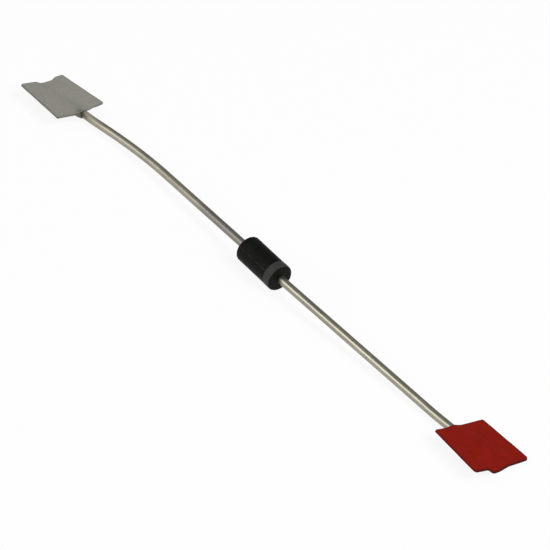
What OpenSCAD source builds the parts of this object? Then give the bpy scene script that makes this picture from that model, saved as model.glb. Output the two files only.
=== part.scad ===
// Zener diode in a moulded axial body, cut from a taped strip.
// +X runs along the body towards the banded cathode end and +Z is up.
// The part lies on Z = 0: on its body's band and on the wire's bulge under each tape end.
// The origin is under the middle of the whole part. Lengths are in millimetres.

/* [Body] */
// diameter of the moulded body
body_d = 2.6; // [2.2:0.02:2.7]
// length of the moulded body
body_l = 5.1; // [4.2:0.1:5.6]
// rounding of the body's two end edges
body_edge = 0.24; // [0.1:0.02:0.4]
// width of the printed cathode band
band_w = 0.7; // [0.4:0.02:1.2]
// plain body between the rounded edge and the band
band_gap = 0.02; // [0.02:0.02:0.6]
// thickness of the printed ink
band_t = 0.02; // [0.01:0.01:0.04]

/* [Wires] */
// diameter of both connecting wires
lead_d = 0.78; // [0.7:0.01:0.86]
// straight wire between the body and its first bend
lead_stub = 0.7; // [0.5:0.05:1.2]
// bend radius where each wire starts to drop
exit_r = 2; // [1:0.5:4]
// bend radius where each wire levels out again
level_r = 6; // [3:0.5:8]
// sideways swing of the cathode wire, in degrees to its left
cathode_swing = 5.3; // [0:0.1:8]
// level wire in front of the red tape
cathode_level = 2.2; // [2:0.1:5]
// sideways swing of the anode wire up to its knee, in degrees to its left
anode_swing = -1; // [-4:0.1:4]
// distance from the body to the anode wire's knee
anode_knee = 17.1; // [14:0.1:18]
// sideways swing of the anode wire after its knee, in degrees to its left
anode_turn = 9.8; // [4:0.1:14]
// bend radius of the knee
knee_r = 46; // [20:1:46]
// level wire in front of the white tape
anode_level = 1.2; // [1:0.1:3]
// how much the wire thickens in a bend
bend_swell = 0.01; // [0.01:0.002:0.02]
// how far that thickening reaches past each bend
bend_lap = 0.1; // [0.05:0.01:0.12]

/* [Inside] */
// width of the square silicon die
die_w = 1.1; // [0.8:0.05:1.3]
// thickness of the silicon die
die_t = 0.28; // [0.2:0.02:0.4]
// width of each square solder pad
solder_w = 0.96; // [0.6:0.02:1.3]
// thickness of each solder pad
solder_t = 0.08; // [0.04:0.02:0.12]
// diameter of the flat head on each wire
head_d = 1.6; // [1.3:0.05:1.8]
// thickness of that head
head_t = 0.4; // [0.3:0.05:0.6]

/* [Tapes] */
// wire between the two tapes, body included
tape_gap = 52.4; // [50:0.1:54]
// how far the body sits from the middle, towards the red tape
body_shift = 0.97; // [0:0.01:1.2]
// width of the tapes, measured along the wire
tape_w = 5.9; // [5:0.1:7]
// thickness of one paper layer
tape_t = 0.1; // [0.06:0.01:0.16]
// how far each layer gives way where it presses on the wire
tape_press = 0.02; // [0.02:0.01:0.04]
// half width of the flat that the wire presses into each layer
fold_flat = 0.2; // [0.15:0.01:0.25]
// length at the tapes' outer edge that the wire doesn't reach
wire_short = 2; // [1:0.1:2.5]

/* [Red tape] */
// height of the seam between the layers above the wire's middle
red_seam = 0.02; // [0:0.01:0.3]
// rise of the wing left of the wire, in degrees
red_left_rise = -5; // [-5.4:0.1:10]
// rise of the wing right of the wire, in degrees
red_right_rise = 12.8; // [-5:0.1:15]
// width of the ridge on top, left of the wire
red_left_ridge = 1.1; // [0.8:0.05:2.4]
// width of the ridge on top, right of the wire
red_right_ridge = 2.2; // [0.8:0.05:2.4]
// width of the bulge underneath, left of the wire
red_left_fold = 0.9; // [0.8:0.05:2]
// width of the bulge underneath, right of the wire
red_right_fold = 1.7; // [0.8:0.05:2]
// how far the two layers dip below the seam past the wire's end
red_dip = 0.38; // [0:0.01:0.38]
// cut edge left of the wire, at the tape's inner side
red_inner_left = 4; // [2.5:0.01:4.2]
// cut edge right of the wire, at the tape's inner side
red_inner_right = 2.38; // [2:0.01:3.6]
// cut edge left of the wire, at the tape's outer side
red_outer_left = 3.68; // [2.5:0.01:4.2]
// cut edge right of the wire, at the tape's outer side
red_outer_right = 3.38; // [2:0.01:3.6]

/* [White tape] */
// height of the seam between the layers above the wire's middle
white_seam = 0.35; // [0:0.01:0.35]
// rise of the wing left of the wire, in degrees
white_left_rise = 8; // [0:0.1:12]
// rise of the wing right of the wire, in degrees
white_right_rise = 8; // [0:0.1:12]
// width of the ridge on top, left of the wire
white_left_ridge = 0.9; // [0.8:0.05:2.4]
// width of the ridge on top, right of the wire
white_right_ridge = 0.9; // [0.8:0.05:2.4]
// width of the bulge underneath, left of the wire
white_left_fold = 1.9; // [0.8:0.05:2]
// width of the bulge underneath, right of the wire
white_right_fold = 0.9; // [0.8:0.05:2]
// how far the two layers dip below the seam past the wire's end
white_dip = 0.2; // [0:0.01:0.6]
// cut edge left of the wire, at the tape's inner side
white_inner_left = 3.95; // [2.5:0.01:4.2]
// cut edge right of the wire, at the tape's inner side
white_inner_right = 2.06; // [2:0.01:3.6]
// cut edge left of the wire, at the tape's outer side
white_outer_left = 3.2; // [2.5:0.01:4.2]
// cut edge right of the wire, at the tape's outer side
white_outer_right = 2.42; // [2:0.01:3.6]

/* [Place] */
// sideways place of the body's middle, so that the whole part is centred
body_y = -0.54; // [-1:0.01:1]

/* [Hidden] */
$fn = 64;

lead_r = lead_d / 2;
// height of the wire's middle inside the tapes, so that their bulges touch Z = 0
rest_h = lead_r - tape_press + tape_t;
// height of the body's axis, so that its band touches Z = 0
axis_h = body_d / 2 + band_t;
fall = axis_h - rest_h;
cathode_free = tape_gap / 2 - body_shift - body_l / 2;
anode_free = tape_gap / 2 + body_shift - body_l / 2;
// outer face of the head on each wire, from the middle of the die
head_z = die_t / 2 + solder_t;

// A wire is a chain of straight runs and bends. Each step works in a frame of its own:
// z along the wire away from the body, x down and y to the left at the start.
function heading(swing, drop) =
  [sin(drop), cos(drop) * sin(swing), cos(drop) * cos(swing)];
function about_z(a) = [[cos(a), -sin(a), 0], [sin(a), cos(a), 0], [0, 0, 1]];
function about_y(a) = [[cos(a), 0, sin(a)], [0, 1, 0], [-sin(a), 0, cos(a)]];
function bent(b) = about_z(b[1]) * about_y(b[0]) * about_z(-b[1]);
// angle of the bend, and the side that it goes to, from frame m to heading h
function bend_to(m, h) = let (v = h * m) [acos(min(1, v.z)), atan2(v.y, v.x)];
function level_roll(m) = let (v = [1, 0, 0] * m) atan2(v.y, v.x);
function tangent(b, r) = r * tan(b[0] / 2);

cathode_reach = cathode_free - cathode_level - lead_stub;
cathode_drop = asin(fall / cathode_reach);
c1 = bend_to(about_z(0), heading(cathode_swing, cathode_drop));
c2 = bend_to(bent(c1), heading(cathode_swing, 0));
c_roll = level_roll(bent(c1) * bent(c2));

anode_first = anode_knee - lead_stub;
anode_second = anode_free - anode_level - anode_knee;
anode_drop = asin(fall / (anode_first + anode_second));
a1 = bend_to(about_z(0), heading(anode_swing, anode_drop));
a2 = bend_to(bent(a1), heading(anode_turn, anode_drop));
a3 = bend_to(bent(a1) * bent(a2), heading(anode_turn, 0));
a_roll = level_roll(bent(a1) * bent(a2) * bent(a3));

// straight lengths between the bends
c_out = body_l / 2 + lead_stub - tangent(c1, exit_r);
c_run = cathode_reach - tangent(c1, exit_r) - tangent(c2, level_r);
c_tape = cathode_level - tangent(c2, level_r);
a_out = body_l / 2 + lead_stub - tangent(a1, exit_r);
a_run = anode_first - tangent(a1, exit_r) - tangent(a2, knee_r);
a_back = anode_second - tangent(a2, knee_r) - tangent(a3, level_r);
a_tape = anode_level - tangent(a3, level_r);
in_tape = tape_w - wire_short;
// how far a cut runs past what it cuts
past = lead_d;

// each tape: its seam height, wing slopes, ridge and bulge widths, cut edges and dip, left first
red_tape = [
  red_seam, [red_left_rise, red_right_rise],
  [red_left_ridge, red_right_ridge], [red_left_fold, red_right_fold],
  [red_inner_left, red_inner_right, red_outer_left, red_outer_right], red_dip
];
white_tape = [
  white_seam, [white_left_rise, white_right_rise],
  [white_left_ridge, white_right_ridge], [white_left_fold, white_right_fold],
  [white_inner_left, white_inner_right, white_outer_left, white_outer_right], white_dip
];

// section of a tape across the wire, with the wire's middle at 0, 0 and left along y
function on_side(y, pair) = y > 0 ? pair[0] : pair[1];
function swell(y, folds) =
  let (s = (abs(y) - fold_flat) / (on_side(y, folds) - fold_flat))
    (1 + cos(180 * max(0, min(1, s)))) / 2;
function wing(y, tape) =
  tape[0] + max(0, abs(y) - fold_flat) * tan(on_side(y, tape[1]));
function over(y, tape) =
  wing(y, tape) + (lead_r - tape_press - tape[0]) * swell(y, tape[2]);
function under(y, tape) =
  wing(y, tape) - (lead_r - tape_press + tape[0]) * swell(y, tape[3]);
function joined(y, tape) = wing(y, tape) - tape[5] * swell(y, tape[3]);
fold_steps = 10;
function reach(tape) = 2 * max(tape[4]);
function add(line, height) = [for (z = line) z + height];
// section points: the far ends, and steps from the flat to the wider fold on each side
function side_ys(tape, side) = let (far = max(tape[2][side], tape[3][side]))
  [for (i = [0:fold_steps]) fold_flat + (far - fold_flat) * i / fold_steps];
function section_ys(tape) = let (left = side_ys(tape, 0), right = side_ys(tape, 1)) concat(
  [-reach(tape)], [for (i = [fold_steps:-1:0]) -right[i]], left, [reach(tape)]
);

module from_body() {
  translate([body_shift, body_y, axis_h]) children();
}

module towards_cathode() {
  from_body() rotate([0, 90, 0]) children();
}

module towards_anode() {
  from_body() rotate([0, 90, 180]) children();
}

// straight wire, with what follows it at its far end
module run(length) {
  cylinder(d = lead_d, h = length);
  translate([0, 0, length]) children();
}

// the same step without the wire
module skip(length) {
  translate([0, 0, length]) children();
}

module after_bend(b, r) {
  rotate([0, 0, b[1]])
    translate([r * (1 - cos(b[0])), 0, r * sin(b[0])])
      rotate([0, b[0], 0])
        rotate([0, 0, -b[1]]) children();
}

// bent wire, a hair thicker than the runs that it joins
module bend(b, r) {
  lap = bend_lap / r * 180 / PI;
  rotate([0, 0, b[1]])
    translate([r, 0, 0])
      rotate([90, 0, 180])
        rotate([0, 0, -lap])
          rotate_extrude(angle = b[0] + 2 * lap)
            translate([r, 0]) circle(d = lead_d + bend_swell);
  after_bend(b, r) children();
}

// flat head and the wire behind it, as far as the first bend
module headed_wire(length) {
  translate([0, 0, head_z]) cylinder(d = head_d, h = head_t);
  translate([0, 0, head_z + head_t / 2])
    cylinder(d = lead_d, h = length - head_z - head_t / 2);
}

module solder_pad() {
  translate([-solder_w / 2, -solder_w / 2, die_t / 2]) cube([solder_w, solder_w, solder_t]);
}

module die() {
  translate([-die_w / 2, -die_w / 2, -die_t / 2]) cube([die_w, die_w, die_t]);
}

// outline of the body, turned about its axis
module body_form() {
  steps = 8;
  r = body_d / 2;
  h = body_l / 2;
  arc = [for (i = [0:steps]) [
    r - body_edge + body_edge * cos(90 * i / steps),
    h - body_edge + body_edge * sin(90 * i / steps)
  ]];
  back = [for (i = [steps:-1:0]) [arc[i].x, -arc[i].y]];
  rotate_extrude() polygon(concat(arc, [[0, h], [0, -h]], back));
}

module moulded_body() {
  color([0.06, 0.06, 0.07])
    difference() {
      towards_cathode() body_form();
      towards_cathode() {
        headed_wire(body_l);
        solder_pad();
        die();
      }
      towards_anode() {
        headed_wire(body_l);
        solder_pad();
      }
    }
}

module cathode_band() {
  color([0.45, 0.46, 0.45])
    towards_cathode()
      translate([0, 0, body_l / 2 - body_edge - band_gap - band_w])
        difference() {
          cylinder(d = body_d + 2 * band_t, h = band_w);
          translate([0, 0, -past]) cylinder(d = body_d, h = band_w + 2 * past);
        }
}

module cathode_lead() {
  color([0.62, 0.61, 0.58])
    towards_cathode() {
      headed_wire(c_out);
      skip(c_out) bend(c1, exit_r) run(c_run) bend(c2, level_r) run(c_tape + in_tape);
    }
}

module anode_lead() {
  color([0.62, 0.61, 0.58])
    towards_anode() {
      headed_wire(a_out);
      skip(a_out)
        bend(a1, exit_r) run(a_run) bend(a2, knee_r) run(a_back)
          bend(a3, level_r) run(a_tape + in_tape);
    }
}

module silicon_die() {
  color([0.32, 0.34, 0.38]) towards_cathode() die();
}

module cathode_solder() {
  color([0.7, 0.7, 0.68]) towards_cathode() solder_pad();
}

module anode_solder() {
  color([0.7, 0.7, 0.68]) towards_anode() solder_pad();
}

// frames at the tapes' inner edges: x along the wire outwards, y to its left, z up
module at_red_tape() {
  towards_cathode() skip(c_out)
    after_bend(c1, exit_r) skip(c_run) after_bend(c2, level_r) skip(c_tape)
      rotate([0, 0, c_roll]) rotate([0, -90, 0]) children();
}

module at_white_tape() {
  towards_anode() skip(a_out)
    after_bend(a1, exit_r) skip(a_run) after_bend(a2, knee_r) skip(a_back)
      after_bend(a3, level_r) skip(a_tape)
        rotate([0, 0, a_roll]) rotate([0, -90, 0]) children();
}

// outline of a tape seen from above: its cut edges, drawn on past the tape's two sides
module cut_outline(tape) {
  cut = tape[4];
  left_lean = (cut[2] - cut[0]) * past / tape_w;
  right_lean = (cut[3] - cut[1]) * past / tape_w;
  polygon([
    [-past, cut[0] - left_lean], [-past, right_lean - cut[1]],
    [tape_w + past, -cut[3] - right_lean], [tape_w + past, cut[2] + left_lean]
  ]);
}

// paper between two lines of the section, for a stretch along the wire
module stretch(tape, from, to, low, high) {
  ys = section_ys(tape);
  translate([from, 0, 0])
    rotate([90, 0, 90])
      linear_extrude(height = to - from)
        polygon(concat(
          [for (i = [0:len(ys) - 1]) [ys[i], low[i]]],
          [for (i = [len(ys) - 1:-1:0]) [ys[i], high[i]]]
        ));
}

// what a layer's stretches leave inside the tape's outline and outside the wire
module trimmed(tape) {
  difference() {
    intersection() {
      union() children();
      translate([0, 0, -reach(tape)])
        linear_extrude(height = 2 * reach(tape)) cut_outline(tape);
    }
    translate([-past, 0, 0])
      rotate([0, 90, 0]) cylinder(d = lead_d, h = in_tape + past);
  }
}

// over the wire, down behind its end, and on along the joined layers
module top_layer(tape) {
  ys = section_ys(tape);
  over_wire = [for (y = ys) over(y, tape)];
  past_wire = [for (y = ys) joined(y, tape)];
  trimmed(tape) {
    stretch(tape, 0, in_tape + tape_t / 2, over_wire, add(over_wire, tape_t));
    stretch(tape, in_tape, in_tape + tape_t, past_wire, add(over_wire, tape_t));
    stretch(tape, in_tape + tape_t / 2, tape_w, past_wire, add(past_wire, tape_t));
  }
}

// under the wire, up behind its end, and on along the joined layers
module bottom_layer(tape) {
  ys = section_ys(tape);
  under_wire = [for (y = ys) under(y, tape)];
  past_wire = [for (y = ys) joined(y, tape)];
  trimmed(tape) {
    stretch(tape, 0, in_tape + tape_t / 2, add(under_wire, -tape_t), under_wire);
    stretch(tape, in_tape, in_tape + tape_t, add(under_wire, -tape_t), past_wire);
    stretch(tape, in_tape + tape_t / 2, tape_w, add(past_wire, -tape_t), past_wire);
  }
}

module red_tape_top() {
  color([0.62, 0.1, 0.07]) at_red_tape() top_layer(red_tape);
}

module red_tape_bottom() {
  color([0.62, 0.1, 0.07]) at_red_tape() bottom_layer(red_tape);
}

module white_tape_top() {
  color([0.62, 0.61, 0.57]) at_white_tape() top_layer(white_tape);
}

module white_tape_bottom() {
  color([0.62, 0.61, 0.57]) at_white_tape() bottom_layer(white_tape);
}

moulded_body();
cathode_band();
anode_lead();
cathode_lead();
silicon_die();
anode_solder();
cathode_solder();
white_tape_top();
white_tape_bottom();
red_tape_top();
red_tape_bottom();
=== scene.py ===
import bpy
import numpy as np
from mathutils import Matrix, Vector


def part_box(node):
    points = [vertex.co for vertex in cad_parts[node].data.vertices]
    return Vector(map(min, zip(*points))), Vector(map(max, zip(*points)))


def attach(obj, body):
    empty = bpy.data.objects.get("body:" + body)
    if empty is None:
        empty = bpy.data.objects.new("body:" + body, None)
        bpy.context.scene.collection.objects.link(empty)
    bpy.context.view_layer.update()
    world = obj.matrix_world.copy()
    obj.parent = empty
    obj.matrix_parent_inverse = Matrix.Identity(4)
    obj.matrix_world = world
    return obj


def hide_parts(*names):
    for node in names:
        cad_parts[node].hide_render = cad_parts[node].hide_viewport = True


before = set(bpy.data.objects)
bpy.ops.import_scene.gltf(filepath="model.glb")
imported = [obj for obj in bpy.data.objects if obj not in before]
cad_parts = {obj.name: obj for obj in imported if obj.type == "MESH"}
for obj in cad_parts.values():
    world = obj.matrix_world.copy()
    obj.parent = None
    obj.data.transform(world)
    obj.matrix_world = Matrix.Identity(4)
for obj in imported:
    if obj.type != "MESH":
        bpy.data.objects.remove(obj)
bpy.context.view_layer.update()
mm = 0.001  # settings are in millimetres, Blender's own lengths in metres
print("frame loaded with", len(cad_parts), "nodes")


# shader maths

class Val:
    # wraps a socket: sums, differences and products of wrapped values add Math nodes
    def __init__(self, socket):
        self.socket = socket

    def node(self, kind, settings, sockets, out=0):
        # any node: its settings are set first, then its sockets get values or links
        made = self.socket.id_data.nodes.new("ShaderNode" + kind)
        for key, value in settings.items():
            setattr(made, key, value)
        for key, value in sockets.items():
            feed(made.inputs[key], value)
        return Val(made.outputs[out])

    def math(self, operation, first, second):
        return self.node("Math", {"operation": operation}, {0: first, 1: second})

    def __add__(self, other):
        return self.math("ADD", self, other)

    def __radd__(self, other):
        return self.math("ADD", other, self)

    def __sub__(self, other):
        return self.math("SUBTRACT", self, other)

    def __rsub__(self, other):
        return self.math("SUBTRACT", other, self)

    def __mul__(self, other):
        return self.math("MULTIPLY", self, other)

    def __rmul__(self, other):
        return self.math("MULTIPLY", other, self)

    def step(self, low, high):
        # 0 below low, 1 above high, smooth between
        return self.node("MapRange", {"interpolation_type": "SMOOTHSTEP"},
                         {"Value": self, "From Min": low, "From Max": high})

    def noise(self, lumps, detail=3.0, rough=0.55, stretch=(1, 1, 1)):
        # noise on this vector, with so many lumps to a millimetre, pulled by axis
        pulled = self.node("Mapping", {}, {"Vector": self, "Scale": stretch})
        return self.node("TexNoise", {}, {"Vector": pulled, "Scale": lumps / mm,
                                          "Detail": detail, "Roughness": rough})

    def mark(self, name, out="Fac"):
        # a value that the mesh carries at its points
        return self.node("Attribute", {"attribute_name": name}, {}, out)

    def tint(self, low, high):
        # low colour where this is 0, high colour where it is 1
        return self.node("Mix", {"data_type": "RGBA"}, {0: self, 6: low, 7: high}, out=2)

    def bump(self, depth, over=None):
        # depth in millimetres, laid over another bump if one is given
        sockets = {"Height": self, "Distance": depth * mm}
        if over:
            sockets["Normal"] = over
        return self.node("Bump", {}, sockets)


def feed(socket, value):
    if isinstance(value, Val):
        socket.id_data.links.new(value.socket, socket)
    else:
        socket.default_value = value


def newFinish(name):
    # a material, its Principled shader and the piece's own coordinates
    finish = bpy.data.materials.new(name)
    finish.use_nodes = True
    shader = finish.node_tree.nodes["Principled BSDF"]
    place = Val(finish.node_tree.nodes.new("ShaderNodeTexCoord").outputs["Object"])
    return finish, shader, place


def dress(shader, **values):
    # values by socket name, with the name's spaces left out
    for socket in shader.inputs:
        key = socket.name.replace(" ", "")
        if key in values:
            feed(socket, values[key])


def grey(level, warmth=0.0):
    return (level * (1 + warmth), level, level * (1 - warmth), 1)


# mesh helpers

sharpAngle = 38.0  # in degrees; edges that are bent more than this are shaded sharp


def unit(vectors):
    return vectors / np.linalg.norm(vectors, axis=-1, keepdims=True)


def ramp(low, high, value):
    # 0 below low, 1 above high, half a cosine wave between
    share = np.clip((value - low) / (high - low), 0, 1)
    return (1 - np.cos(np.pi * share)) / 2


def bell(value, width):
    # e to the power of minus the square of value / width
    return np.exp(-(value / width) ** 2)


def waves(value, settings):
    # summed sines, each with its own rate and start
    return sum(np.sin(rate * value + start) for rate, start in settings)


def gridFaces(rows, columns, wrapRows=False, wrapColumns=False):
    # quads between neighbours of a rows x columns grid, joined round where it wraps
    row = np.arange(rows if wrapRows else rows - 1)[:, None]
    column = np.arange(columns if wrapColumns else columns - 1)[None, :]
    nextRow = (row + 1) % rows
    nextColumn = (column + 1) % columns
    corners = [row * columns + column, row * columns + nextColumn,
               nextRow * columns + nextColumn, nextRow * columns + column]
    return np.stack(np.broadcast_arrays(*corners), -1).reshape(-1, 4)


def newPiece(name, points, faces, finish, node, marks):
    # a mesh on the root body that stands for a CAD node; marks are named values per point
    mesh = bpy.data.meshes.new(name)
    mesh.from_pydata((points.reshape(-1, 3) * mm).tolist(), [], faces)
    for mark, values in marks.items():
        perPoint = values.reshape(len(mesh.vertices), -1)
        isVector = perPoint.shape[1] == 3
        layer = mesh.attributes.new(mark, "FLOAT_VECTOR" if isVector else "FLOAT", "POINT")
        numbers = perPoint.astype(np.float32).ravel()
        layer.data.foreach_set("vector" if isVector else "value", numbers)
    mesh.polygons.foreach_set("use_smooth", np.ones(len(mesh.polygons), bool))
    mesh.set_sharp_from_angle(angle=np.radians(sharpAngle))
    mesh.materials.append(finish)
    piece = bpy.data.objects.new(name, mesh)
    bpy.context.scene.collection.objects.link(piece)
    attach(piece, "root")
    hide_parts(node)
    print(name, "made with", len(mesh.polygons), "faces")


# moulded body

bodyForm = {
    "edge": 0.24,  # rounding of the end edges
    "boreRadius": 0.39,  # round the wire
    "cavityRadius": 0.8,  # round the wire heads and the die
    "cavityHalf": 0.62,
    "collar": 0.05,  # height of the epoxy that climbs the wire at each end
    "collarWidth": 0.2,
    "seamTilt": 67.0,  # mould seam, in degrees from the top towards -Y
    "flash": 0.008,  # height of the seam's flash
    "flashWidth": 0.022,
    "flashStart": 0.3,  # how far outside the bore it begins on the end faces
    "rub": (0.3, 0.4),  # place and width of the lighter line on the end edges, as shares of the edge
    "around": 420,
    "collarPoints": 7,
    "facePoints": 14,
    "edgePoints": 13,
    "barrelPoints": 60,
}
bodyLow, bodyHigh = (np.array(corner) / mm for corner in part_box("moulded_body"))
bodyMiddle = (bodyLow + bodyHigh) / 2
bodyLength = bodyHigh[0] - bodyLow[0]
bodyRadius = (bodyHigh[1] - bodyLow[1]) / 2


def blackEpoxy():
    finish, shader, place = newFinish("blackEpoxy")
    cloud = place.noise(0.9)
    grain = place.noise(26, 4, 0.7)
    fine = place.noise(70, 2, 0.6)
    tone = cloud.step(0.3, 0.7).tint((0.003, 0.003, 0.0031, 1), (0.0056, 0.0056, 0.0039, 1))
    tone = grain.step(0.58, 0.78).tint(tone, (0.012, 0.0115, 0.01, 1))
    # painted highlight along the mould seam, in patches
    seam = place.mark("seam") * place.noise(1.6, 2).step(0.36, 0.58)
    tone = (seam * 0.8).tint(tone, (0.055, 0.053, 0.046, 1))
    # the end edges are a little lighter, in patches
    paleBandMask = place.mark("edge") * place.noise(6).step(0.45, 0.7)
    tone = (paleBandMask * 0.6).tint(tone, (0.022, 0.0215, 0.019, 1))
    dress(shader, BaseColor=tone, Roughness=0.52 + grain * 0.16 - cloud * 0.08,
          SpecularIORLevel=0.08, Normal=fine.bump(0.006, grain.bump(0.012)))
    return finish


def makeBody():
    # the profile runs out of one bore, round both end edges, and back along the cavity;
    # turned about the axis it is a closed ring
    half = bodyLength / 2
    edge = bodyForm["edge"]
    bore = bodyForm["boreRadius"]
    cavity = bodyForm["cavityRadius"]
    inner = bodyForm["cavityHalf"]
    collarWidth = bodyForm["collarWidth"]
    quarter = np.linspace(0, np.pi / 2, bodyForm["edgePoints"])
    climb = np.linspace(1, 0, bodyForm["collarPoints"])
    endFace = np.linspace(bore + collarWidth, bodyRadius - edge, bodyForm["facePoints"])[1:-1]
    # one end, from the bore outwards: collar with a square law, flat face, rounded edge
    endR = np.concatenate([bore + collarWidth * (1 - climb), endFace,
                           bodyRadius - edge + edge * np.sin(quarter)])
    endX = np.concatenate([half + bodyForm["collar"] * climb ** 2, np.full(endFace.size, half),
                           half - edge + edge * np.cos(quarter)])
    barrel = np.linspace(half - edge, edge - half, bodyForm["barrelPoints"])[1:-1]
    cavityX = [-inner, -inner, inner, inner]
    cavityR = [bore, cavity, cavity, bore]
    x = np.concatenate([endX, barrel, -endX[::-1], cavityX])
    r = np.concatenate([endR, np.full(barrel.size, bodyRadius), endR[::-1], cavityR])
    turn = np.linspace(0, 2 * np.pi, bodyForm["around"], endpoint=False)[:, None]
    # the flash stands along the parting plane as a narrow bell curve, which also places the painted
    # highlight along the seam
    offSeam = r * np.sin(turn - np.radians(bodyForm["seamTilt"]))
    outside = (r > bore + bodyForm["flashStart"]) & (np.arange(r.size) < r.size - len(cavityX))
    seam = bell(offSeam, bodyForm["flashWidth"]) * outside
    # a lighter line round the rounded end edges
    paleBandPlace, paleBandWidth = (part * edge for part in bodyForm["rub"])
    paleBandMask = bell(np.abs(x) - half + paleBandPlace, paleBandWidth) * (r > bodyRadius - edge)
    radius = r + bodyForm["flash"] * seam
    points = np.stack(np.broadcast_arrays(bodyMiddle[0] + x,
                                          bodyMiddle[1] - radius * np.sin(turn),
                                          bodyMiddle[2] + radius * np.cos(turn)), -1)
    faces = gridFaces(*seam.shape, wrapRows=True, wrapColumns=True)
    newPiece("epoxyBody", points, faces.tolist(), blackEpoxy(), "moulded_body",
             {"seam": seam, "edge": np.broadcast_to(paleBandMask, seam.shape)})


makeBody()


# printed cathode band

bandForm = {
    "inkHeight": 0.018,
    "sink": 0.03,  # how far its underside lies in the body
    "waver": 0.018,  # unevenness of its two edges
    "waverWaves": ((5, 0.6), (13, 0.0), (31, 2.0)),  # waves to a turn, and where each starts
    "overrun": 0.16,  # how far the ink runs on over the body's rounded edge
    "falloff": 8,  # the larger, the flatter the ink
    "around": 360,
    "across": 25,
}


def greyInk():
    finish, shader, place = newFinish("greyInk")
    cloud = place.noise(2.2, 4)
    speck = place.noise(17, 3, 0.7)
    tone = cloud.step(0.3, 0.7).tint((0.031, 0.032, 0.031, 1), (0.043, 0.043, 0.0405, 1))
    tone = speck.step(0.6, 0.72).tint(tone, (0.016, 0.016, 0.015, 1))
    dress(shader, BaseColor=tone, Roughness=0.55 + speck * 0.2, SpecularIORLevel=0.2,
          Normal=speck.bump(0.006))
    return finish


def makeBand():
    # a thin hoop: the ink's height falls off as 1 - across to the power of falloff, where
    # across is 1 at the edges, and the edges waver as summed sines
    low, high = (corner[0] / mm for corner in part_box("cathode_band"))
    high = high + bandForm["overrun"]
    turn = np.linspace(0, 2 * np.pi, bandForm["around"], endpoint=False)[:, None]
    across = np.linspace(-1, 1, bandForm["across"])
    waver = waves(turn, bandForm["waverWaves"]) * np.abs(across) / len(bandForm["waverWaves"])
    half = (high - low) / 2 - bandForm["waver"] * (1 - waver)
    x = (low + high) / 2 + across * half
    # past the start of the rounded edge the ink follows its circle down
    edge = bodyForm["edge"]
    past = np.maximum(x - bodyHigh[0] + edge, 0)
    skin = bodyRadius - edge + np.sqrt(edge ** 2 - past ** 2)
    top = skin + bandForm["inkHeight"] * (1 - across ** bandForm["falloff"])
    x = np.concatenate([x, x[:, ::-1]], 1)
    r = np.concatenate([top, skin[:, ::-1] - bandForm["sink"]], 1)
    points = np.stack(np.broadcast_arrays(x, bodyMiddle[1] + r * np.sin(turn),
                                          bodyMiddle[2] + r * np.cos(turn)), -1)
    faces = gridFaces(*x.shape, wrapRows=True, wrapColumns=True)
    newPiece("cathodeBand", points, faces.tolist(), greyInk(), "cathode_band", {})


makeBand()


# wires

wireForm = {
    "radius": 0.39,
    "stub": 0.7,  # straight wire beside the body
    "exitBend": 2.0,  # radius of the bend beside the body
    "levelBend": 6.0,  # and of the one in front of the tape
    "headRadius": 0.8,
    "headStart": 0.22,  # from the body's middle
    "headThick": 0.4,
    "endInside": 2.0,  # from the tape's outer edge
    "tapeGap": 52.4,  # between the two tapes
    "tapeWidth": 5.9,
    "rest": 0.47,  # height of its middle inside the tapes
    "dullFade": (6.2, 8.0),  # from the body: where the painted shade on the tin begins to fade, and is gone
    "glueReach": 1.8,  # how far out of the tape its glue and painted light show
    "around": 40,
    "pitch": 0.12,  # between its rings
    "bendPoints": 40,
    "lookAhead": 0.02,  # how far before and after a ring its direction is taken
}
# sign is the way along X, and swing and turn are degrees to the left, seen from the body, before and
# past the knee. knee is its distance from the body, kneeBend its radius, and level the length that lies
# flat in front of the tape. The painted shade by the body, the haze, and the glue with its painted
# light are strengths from 0 to 1
cathodeRoute = {"sign": 1, "swing": 5.3, "level": 2.2, "dull": 0.25, "haze": 0.58, "glue": 0.15}
anodeRoute = {"sign": -1, "swing": -1.0, "level": 1.2, "dull": 1.0, "haze": 1.0, "glue": 1.0,
              "knee": 17.1, "turn": 9.8, "kneeBend": 46.0}


def heading(sign, swing, drop):
    # swing to the left and drop in radians, seen from the body
    flat = sign * np.cos(drop)
    return np.array([flat * np.cos(swing), flat * np.sin(swing), -np.sin(drop)])


def wireCorners(route):
    # the points where a wire's straight runs would meet, and the bend radius at each
    sign = route["sign"]
    free = wireForm["tapeGap"] / 2 - sign * bodyMiddle[0] - bodyLength / 2
    fall = bodyMiddle[2] - wireForm["rest"]
    swing = np.radians(route["swing"])
    reach = free - route["level"] - wireForm["stub"]
    drop = np.arcsin(fall / reach)
    stubEnd = bodyMiddle + heading(sign, 0, 0) * (bodyLength / 2 + wireForm["stub"])
    corners = [bodyMiddle, stubEnd]
    radii = [wireForm["exitBend"]]
    if "knee" in route:
        first = route["knee"] - wireForm["stub"]
        corners.append(corners[-1] + heading(sign, swing, drop) * first)
        radii.append(route["kneeBend"])
        swing = np.radians(route["turn"])
        reach = reach - first
    corners.append(corners[-1] + heading(sign, swing, drop) * reach)
    radii.append(wireForm["levelBend"])
    level = heading(sign, swing, 0)
    tapeStart = corners[-1] + level * route["level"]
    corners.append(tapeStart + level * (wireForm["tapeWidth"] - wireForm["endInside"]))
    return np.array(corners), radii, tapeStart, level


def roundedPath(corners, radii):
    # an arc of radius r starts and ends r * tan(bend / 2) from its corner
    legs = unit(np.diff(corners, axis=0))
    stretches = [corners[:1]]
    for corner, before, after, radius in zip(corners[1:-1], legs[:-1], legs[1:], radii):
        cosine = before @ after
        bend = np.arccos(cosine)
        start = corner - before * radius * np.tan(bend / 2)
        inward = unit(after - before * cosine)
        turn = np.linspace(0, bend, wireForm["bendPoints"])[:, None]
        stretches.append(start + radius * (np.sin(turn) * before + (1 - np.cos(turn)) * inward))
    stretches.append(corners[-1:])
    return np.concatenate(stretches)


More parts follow.
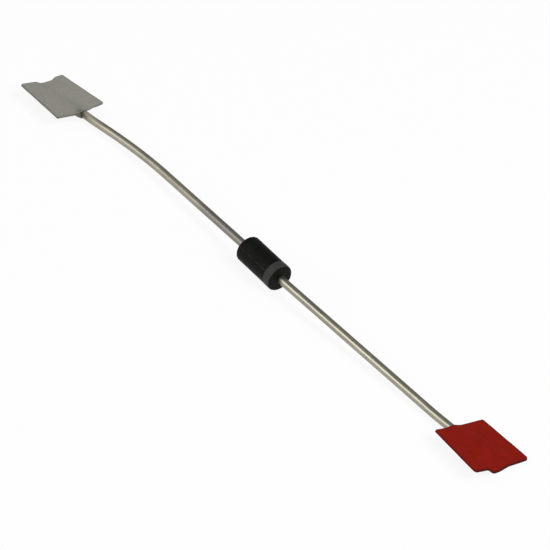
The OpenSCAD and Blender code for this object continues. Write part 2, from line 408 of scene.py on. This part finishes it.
def tinnedWire():
    finish, shader, place = newFinish("tinnedWire")
    drawn = place.mark("drawn", "Vector")
    streak = drawn.noise(9, 3, 0.6, (1, 1, 0.03))
    mottle = drawn.noise(1.3, 4, 0.6, (1, 1, 0.5))
    pit = place.noise(22, 2, 0.6)
    tone = mottle.step(0.3, 0.72).tint((0.32, 0.301, 0.239, 1), (0.396, 0.372, 0.3, 1))
    # painted shade: darker tin beside the body
    dull = place.mark("dull")
    tone = (dull * 0.7).tint(tone, (0.225, 0.214, 0.2, 1))
    tone = (streak.step(0.5, 0.75) * 0.4).tint(tone, (0.225, 0.212, 0.169, 1))
    # glue makes the tin rougher, and painted light makes it paler towards the tape
    glue = place.mark("glue")
    tone = (glue * 0.7).tint(tone, (0.47, 0.445, 0.365, 1))
    rough = 0.27 + mottle * 0.1 + place.mark("haze") * 0.17 + glue * 0.25
    dress(shader, BaseColor=tone, Roughness=rough, Metallic=1.0,
          Normal=pit.bump(0.0008, streak.bump(0.0016)))
    return finish


def makeWire(name, node, route, finish):
    # a circle carried along the route, wider at the flat head inside the body
    corners, radii, tapeStart, level = wireCorners(route)
    path = roundedPath(corners, radii)
    along = np.concatenate([[0], np.cumsum(np.linalg.norm(np.diff(path, axis=0), axis=1))])
    headEnd = wireForm["headStart"] + wireForm["headThick"]
    shank = np.linspace(headEnd, along[-1], int(along[-1] / wireForm["pitch"]))
    station = np.concatenate([[wireForm["headStart"], headEnd], shank])
    radius = np.full(station.size, wireForm["radius"])
    radius[:2] = wireForm["headRadius"]  # the head's own two rings

    def at(distance):
        return np.stack([np.interp(distance, along, path[:, k]) for k in range(3)], -1)

    ahead = unit(at(station + wireForm["lookAhead"]) - at(station - wireForm["lookAhead"]))
    ahead[-1] = level
    side = unit(np.cross(ahead, [0, 0, 1]))
    up = np.cross(side, ahead)
    turn = np.linspace(0, 2 * np.pi, wireForm["around"], endpoint=False)
    cosine = np.cos(turn)[None, :, None]
    sine = np.sin(turn)[None, :, None]
    ring = cosine * side[:, None] + sine * up[:, None]
    wide = radius[:, None, None]
    points = at(station)[:, None] + wide * ring
    rows, columns = points.shape[:2]
    # coordinates that follow the wire: across it, up it and along it
    follows = np.broadcast_arrays(wide * cosine, wide * sine, station[:, None, None])
    drawn = np.concatenate(follows, -1) * mm
    # painted shade: the tin is darker beside the body
    fromBody = np.maximum(station - bodyLength / 2, 0)
    dull = route["dull"] * (1 - ramp(*wireForm["dullFade"], fromBody))
    # glue clouds it towards the tape, along a bell curve, and painted light makes it paler there
    toTape = np.maximum(along[-1] - wireForm["tapeWidth"] + wireForm["endInside"] - station, 0)
    glue = route["glue"] * bell(toTape, wireForm["glueReach"])
    faces = gridFaces(rows, columns, wrapColumns=True)[:, ::-1].tolist()
    faces.append(list(range(columns)))
    faces.append(list(range(rows * columns - 1, (rows - 1) * columns - 1, -1)))
    newPiece(name, points, faces, finish, node,
             {"drawn": drawn, "dull": np.repeat(dull, columns),
              "haze": np.full(rows * columns, route["haze"]), "glue": np.repeat(glue, columns)})
    return tapeStart, level


tin = tinnedWire()
redStart, redAhead = makeWire("cathodeWire", "cathode_lead", cathodeRoute, tin)
whiteStart, whiteAhead = makeWire("anodeWire", "anode_lead", anodeRoute, tin)


# paper tape ends

paperForm = {
    "thick": 0.1,
    "press": 0.02,  # how far paper gives way on the wire
    "clear": 0.05,  # between the wire's sides and the paper's bend
    "notchWidth": 0.55,
    "notchFade": 4,  # the larger, the shorter the notch
    "lap": 0.007,  # how much larger the lower layer is cut, as a share
    "fray": 0.005,
    "frayWaves": ((5.3, 1.0), (17.1, 0.0)),  # radians to a millimetre, and where each starts
    "ripple": 0.012,
    "rippleWaves": ((1.7, 0.9, 0.0), (0.8, -1.3, 1.0)),  # the same along and across, and the start
    "gapeDepth": 0.35,  # how far in from the inner edge the pocket reaches
    "easing": 1.8,  # how far in from the inner edge the ridge takes its later form
    "wingStart": 0.2,  # where the wings begin to rise beside the wire
    "crease": 0.15,  # rounding of the creases beside the wire
    "blend": 0.4,  # half width of the change from one side's wing to the other's
    "endRim": (0.07, 0.9),  # width and strength of the painted shade along the two ends
    "stainWidth": 0.5,
    "stainFade": (0.8, 4.6),  # from the inner edge: where it begins to fade, and is gone
    "smudgePlace": 0.75,  # left of the wire, at the inner edge
    "smudgeSize": 0.5,
    "crowding": 0.55,  # how far the grid's lines are drawn in towards the wire, 0 for not at all
    "rows": 110,
    "columns": 151,
}
# cut, seam and rise are pairs for the inner and the outer edge: how far from the wire the side is
# cut, how high the seam lies over the wire's middle, and how many degrees the wing rises. The folds
# are given by where each starts and ends beside the wire: the ridge over it, the bulge under it, and
# the valley past its end. The ridge ends twice, at the inner edge and further in, and so has two
# slopes. The gape is how far beside the wire the pocket at the inner edge is open, and the rim the
# width and the strength of the painted shade along the cut
redTape = {
    "left": {"cut": (4.0, 3.74), "seam": (0.1, -0.1), "rise": (-6.5, -3.4), "slope": (-0.25, -0.08),
             "ridge": (0.0, 1.3, 2.9), "bulge": (0.0, 0.95), "valley": (0.0, 1.45),
             "gape": 0.0, "rim": (0.13, 1.0)},
    "right": {"cut": (2.38, 3.37), "seam": (0.12, 0.09), "rise": (12.1, 11.0), "slope": (0.1, 0.1),
              "ridge": (0.0, 2.2, 2.2), "bulge": (0.3, 1.8), "valley": (0.3, 1.8),
              "gape": 0.0, "rim": (0.05, 0.35)},
    "floor": -0.36,  # of the valley, over the wire's middle
    "stain": 0.25,  # how far left of the wire the painted shade beside it runs
    "smudge": 0.0,  # strength of the painted shade in the pocket at the inner edge
    "corner": (0.16, 0.34),  # rounding of the cut corners at the inner and the outer edge
    "tent": -0.05,  # how far the top layer stands off the wire at the inner edge
    "topNotch": (0.0, 0.0),  # depth of the inner edge's notch at the wire, and how far left it lies
    "bottomNotch": (0.0, 0.0),
}
whiteTape = {
    "left": {"cut": (3.97, 3.22), "seam": (0.38, 0.45), "rise": (6.4, 8.0), "slope": (0.0, 0.0),
             "ridge": (0.1, 0.9, 0.9), "bulge": (0.1, 0.52), "valley": (0.0, 1.45),
             "gape": 1.6, "rim": (0.06, 0.6)},
    "right": {"cut": (2.1, 2.36), "seam": (0.59, 0.42), "rise": (6.5, 1.0), "slope": (0.12, 0.12),
              "ridge": (0.1, 1.2, 1.2), "bulge": (0.34, 0.47), "valley": (0.95, 1.42),
              "gape": 0.0, "rim": (0.1, 0.9)},
    "floor": 0.19,
    "stain": 0.2,
    "smudge": 0.8,
    "corner": (0.07, 0.16),
    "tent": 0.03,
    "topNotch": (0.22, 0.3),
    "bottomNotch": (0.4, -0.25),
}


def paperFinish(name, pale, dark, fleckAndShadeTone, rim, streak):
    finish, shader, place = newFinish(name)
    cloud = place.noise(0.8, 4)
    fleck = place.noise(3.5, 3, 0.6)
    fibre = place.noise(7, 4, 0.65, (1, 0.35, 1))
    fine = place.noise(34, 3, 0.6)
    tone = (cloud.step(0.3, 0.7) * 0.6 + fibre * 0.4).tint(pale, dark)
    tone = (fleck.step(0.42, 0.68) * 0.6).tint(tone, fleckAndShadeTone)
    # painted shade beside the wire, in the fleck colour
    tone = (place.mark("streak") * streak).tint(tone, fleckAndShadeTone)
    # painted shade in the pocket at the inner edge
    tone = place.mark("smudge").tint(tone, (0.1, 0.105, 0.075, 1))
    # painted shade along the cut edges
    tone = (place.mark("edge") * 0.85).tint(tone, rim)
    dress(shader, BaseColor=tone, Roughness=0.75 + fine * 0.2, SpecularIORLevel=0.03,
          Normal=fine.bump(0.008, fibre.bump(0.015)))
    return finish


def makeTape(name, node, tape, start, ahead, finish):
    # two paper layers that lie on each other and part round the wire: the wing's height is a line
    # each side, the folds are half cosine waves, and past the wire's end both sink into the valley.
    # u runs from the inner edge along the wire, v to its left
    width = wireForm["tapeWidth"]
    thick = paperForm["thick"]
    x = np.array(ahead)
    y = unit(np.cross([0, 0, 1], x))
    z = np.array([0, 0, 1])
    u = width * ramp(0, 1, np.linspace(0, 1, paperForm["rows"]))[:, None]
    share = u / width
    toEnd = np.minimum(u, width - u)
    # near a cut end the sides draw in along a quarter circle
    bend = np.where(share < 0.5, *tape["corner"])
    drawIn = bend - np.sqrt(bend ** 2 - np.maximum(bend - toEnd, 0) ** 2)
    fray = paperForm["fray"] * (waves(u, paperForm["frayWaves"]) / len(paperForm["frayWaves"]) - 1)

    def fromPair(side, key):
        inner, outer = tape[side][key]
        return inner * (1 - share) + outer * share

    left = fromPair("left", "cut") - drawIn + fray
    right = fromPair("right", "cut") - drawIn + fray
    # across, the grid's lines crowd towards the wire as (1 - c) t + c t squared
    across = np.linspace(-1, 1, paperForm["columns"])
    crowding = paperForm["crowding"]
    out = (1 - crowding) * np.abs(across) + crowding * across ** 2
    v = np.where(across < 0, -right * out, left * out)
    onLeft = ramp(-paperForm["blend"], paperForm["blend"], v)

    def bySide(leftValue, rightValue):
        return onLeft * leftValue + (1 - onLeft) * rightValue

    def wingOf(side):
        # a hyperbola rounds the corner where the wing begins
        past = np.abs(v) - paperForm["wingStart"]
        run = (past + np.hypot(past, paperForm["crease"])) / 2
        return fromPair(side, "seam") + run * np.tan(np.radians(fromPair(side, "rise")))

    easing = ramp(0, paperForm["easing"], u)

    def eased(first, last):
        return first + (last - first) * easing

    def foldOf(side, key):
        low, *ends = tape[side][key]
        return 1 - ramp(low, eased(ends[0], ends[-1]), np.abs(v))

    def fold(key):
        return np.where(v > 0, foldOf("left", key), foldOf("right", key))

    # the pocket is a straight slope that dies away into the tape
    gape = np.where(v > 0, tape["left"]["gape"], tape["right"]["gape"])
    pocket = np.maximum(gape - np.abs(v), 0) / np.where(gape > 0, gape, 1)
    pocket = pocket * bell(u, paperForm["gapeDepth"])
    # the ripple is a product of sines
    ripple = paperForm["ripple"]
    for lengthwise, crosswise, phase in paperForm["rippleWaves"]:
        ripple = ripple * np.sin(lengthwise * u + crosswise * v + phase)
    wing = bySide(wingOf("left"), wingOf("right")) + ripple
    lift = wireForm["radius"] - paperForm["press"]
    # a circle a little wider than the wire holds the paper down under it
    around = wireForm["radius"] + paperForm["clear"]
    dip = np.sqrt(np.maximum(around ** 2 - v ** 2, 0))
    wireSag = np.where(dip > 0, around - lift - dip, np.inf)
    off = np.hypot(v, paperForm["crease"]) - paperForm["crease"]
    crest = lift + eased(tape["tent"], 0) + off * bySide(eased(*tape["left"]["slope"]),
                                                         eased(*tape["right"]["slope"]))
    over = wing + (crest - wing) * fold("ridge")
    under = wing + (-lift - wing) * np.maximum(fold("bulge"), pocket)
    under = np.minimum(np.minimum(under, wireSag), over)
    joined = wing + (tape["floor"] - wing) * fold("valley")
    closing = ramp(width - wireForm["endInside"], width, u)
    over = over + (joined - over) * closing
    under = under + (joined - under) * closing

    def rimShadeOf(distance, spread, strength):
        return strength * bell(distance, spread)

    # painted shade along the cut edges, each side by its own width and strength
    edge = np.maximum(rimShadeOf(left - v, *tape["left"]["rim"]), rimShadeOf(v + right, *tape["right"]["rim"]))
    edge = np.maximum(edge, rimShadeOf(toEnd, *paperForm["endRim"]))
    # painted shade beside the wire that fades along the tape
    stain = bell(v - tape["stain"], paperForm["stainWidth"]) * (1 - ramp(*paperForm["stainFade"], u))
    # painted shade in the pocket at the inner edge, a bell curve in both directions
    fromPocketShade = np.hypot(u, v - paperForm["smudgePlace"])
    smudge = tape["smudge"] * bell(fromPocketShade, paperForm["smudgeSize"])
    marks = {"edge": edge, "streak": stain, "smudge": smudge}
    bothFaces = {mark: np.stack([values, values]) for mark, values in marks.items()}

    rows, columns = v.shape
    count = rows * columns
    faces = gridFaces(rows, columns)
    index = np.arange(count).reshape(rows, columns)
    border = np.concatenate([index[0, :-1], index[:-1, -1], index[-1, :0:-1], index[:0:-1, 0]])
    after = np.roll(border, -1)
    rimFaces = np.stack([border, border + count, after + count, after], -1)
    allFaces = np.concatenate([faces[:, ::-1], faces + count, rimFaces]).tolist()
    middle = width / 2
    layers = (("top", over, 1), ("bottom", under - thick, 1 + paperForm["lap"]))
    for layer, base, grown in layers:
        # the notch is a bell curve across, and dies away towards the outer edge
        depth, where = tape[layer + "Notch"]
        notch = depth * bell(v - where, paperForm["notchWidth"])
        notch = notch * (1 - share) ** paperForm["notchFade"]
        run = middle + (u - middle) * grown + notch
        sheet = start + run[..., None] * x + grown * v[..., None] * y + base[..., None] * z
        points = np.stack([sheet + thick * z, sheet])
        newPiece(name + layer.title(), points, allFaces, finish, node + "_" + layer, bothFaces)


redPaper = paperFinish("redPaper", (0.274, 0.0115, 0.0048, 1), (0.206, 0.0089, 0.0043, 1),
                       (0.192, 0.0122, 0.0094, 1), (0.06, 0.009, 0.011, 1), 0.2)
whitePaper = paperFinish("whitePaper", (0.294, 0.278, 0.252, 1), (0.262, 0.254, 0.23, 1),
                         (0.222, 0.236, 0.2, 1), (0.21, 0.198, 0.172, 1), 0.9)
makeTape("redTape", "red_tape", redTape, redStart, redAhead, redPaper)
makeTape("whiteTape", "white_tape", whiteTape, whiteStart, whiteAhead, whitePaper)


# die and solder, sealed in the body

def sealedFinish(name, low, high, metallic):
    finish, shader, place = newFinish(name)
    lap = place.noise(14, 3, 0.6)
    dress(shader, BaseColor=lap.tint(low, high), Roughness=0.25 + lap * 0.3, Metallic=metallic,
          Normal=lap.bump(0.004))
    return finish


def dressInside():
    silicon = sealedFinish("sawnSilicon", grey(0.14, -0.1), grey(0.26, -0.1), 0.4)
    solder = sealedFinish("softSolder", grey(0.5), grey(0.66), 1.0)
    inside = {"silicon_die": silicon, "anode_solder": solder, "cathode_solder": solder}
    for node, finish in inside.items():
        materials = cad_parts[node].data.materials
        materials.clear()
        materials.append(finish)
    print("die and solder dressed")


dressInside()


# floor, light and camera; these lengths are in metres, the angles in degrees

stageForm = {
    "floorHalf": 1.5,
    "floorDrop": 0.00002,  # how far it lies under the part
    "floorTone": 0.92,
    "floorMottle": 0.02,  # how much darker its clouds are
    "shownWhite": 0.9,  # share of plain white in the floor that the camera and mirrors see
    "dome": 0.3,  # strength of the room's light
}
lamps = {
    "window": {"place": (-0.31, -0.6, 0.36), "size": 0.42, "power": 2.6},
    "ceiling": {"place": (0.44, 0.28, 0.6), "size": 0.5, "power": 4.5},
}
cameraForm = {
    "target": (2.09 * mm, 0.1 * mm, 0.665 * mm),
    "azimuth": 44.113,
    "elevation": 31.907,
    "roll": 16.008,
    "distance": 288.74 * mm,
    "lens": 210.85,
    "clipStart": 0.01,
}


def stand(thing, spot, right, up, back):
    # a lamp or a camera at a spot, looking away from back
    turned = Matrix(np.stack([right, up, back], 1).tolist()).to_4x4()
    holder = bpy.data.objects.new(thing.name, thing)
    holder.matrix_world = Matrix.Translation(spot) @ turned
    bpy.context.scene.collection.objects.link(holder)
    return holder


def paleFloor():
    # camera and mirror rays see plain white mixed in, other rays the floor alone
    finish, shader, spot = newFinish("paleFloor")
    pale = stageForm["floorTone"]
    tone = spot.noise(0.02).tint(grey(pale), grey(pale - stageForm["floorMottle"]))
    dress(shader, BaseColor=tone, Roughness=0.9, SpecularIORLevel=0.1)
    seen = spot.node("LightPath", {}, {}, "Is Camera Ray")
    for ray in ("Is Glossy Ray", "Is Transmission Ray"):
        seen = seen.math("MAXIMUM", seen, spot.node("LightPath", {}, {}, ray))
    white = spot.node("Emission", {}, {"Color": grey(1.0), "Strength": 1.0})
    mixed = spot.node("MixShader", {}, {0: seen * stageForm["shownWhite"],
                                        1: Val(shader.outputs[0]), 2: white})
    feed(finish.node_tree.nodes["Material Output"].inputs["Surface"], mixed)
    return finish


def makeStage():
    half = stageForm["floorHalf"]
    mesh = bpy.data.meshes.new("floor")
    corners = [(-half, -half, 0), (half, -half, 0), (half, half, 0), (-half, half, 0)]
    mesh.from_pydata(corners, [], [(0, 1, 2, 3)])
    mesh.materials.append(paleFloor())
    floor = bpy.data.objects.new("floor", mesh)
    floor.location.z = -stageForm["floorDrop"]
    bpy.context.scene.collection.objects.link(floor)

    world = bpy.data.worlds.new("room")
    world.use_nodes = True
    background = world.node_tree.nodes["Background"]
    background.inputs["Color"].default_value = grey(1.0)
    background.inputs["Strength"].default_value = stageForm["dome"]
    bpy.context.scene.world = world

    for name, form in lamps.items():
        lamp = bpy.data.lights.new(name, "AREA")
        lamp.size = form["size"]
        lamp.energy = form["power"]
        away = unit(np.array(form["place"]))
        side = unit(np.cross([0, 0, 1], away))
        stand(lamp, form["place"], side, np.cross(away, side), away)


def makeCamera():
    angles = [cameraForm[key] for key in ("azimuth", "elevation", "roll")]
    azimuth, elevation, roll = np.radians(angles)
    level = np.cos(elevation)
    back = np.array([np.sin(azimuth) * level, -np.cos(azimuth) * level, np.sin(elevation)])
    right = np.array([np.cos(azimuth), np.sin(azimuth), 0])
    up = np.cross(back, right)
    lens = bpy.data.cameras.new("camera")
    lens.lens = cameraForm["lens"]
    lens.clip_start = cameraForm["clipStart"]
    spot = np.array(cameraForm["target"]) + back * cameraForm["distance"]
    bpy.context.scene.camera = stand(lens, spot, np.cos(roll) * right + np.sin(roll) * up,
                                     np.cos(roll) * up - np.sin(roll) * right, back)


makeStage()
makeCamera()
bpy.context.scene.view_settings.view_transform = "Standard"
print("stage and camera set")
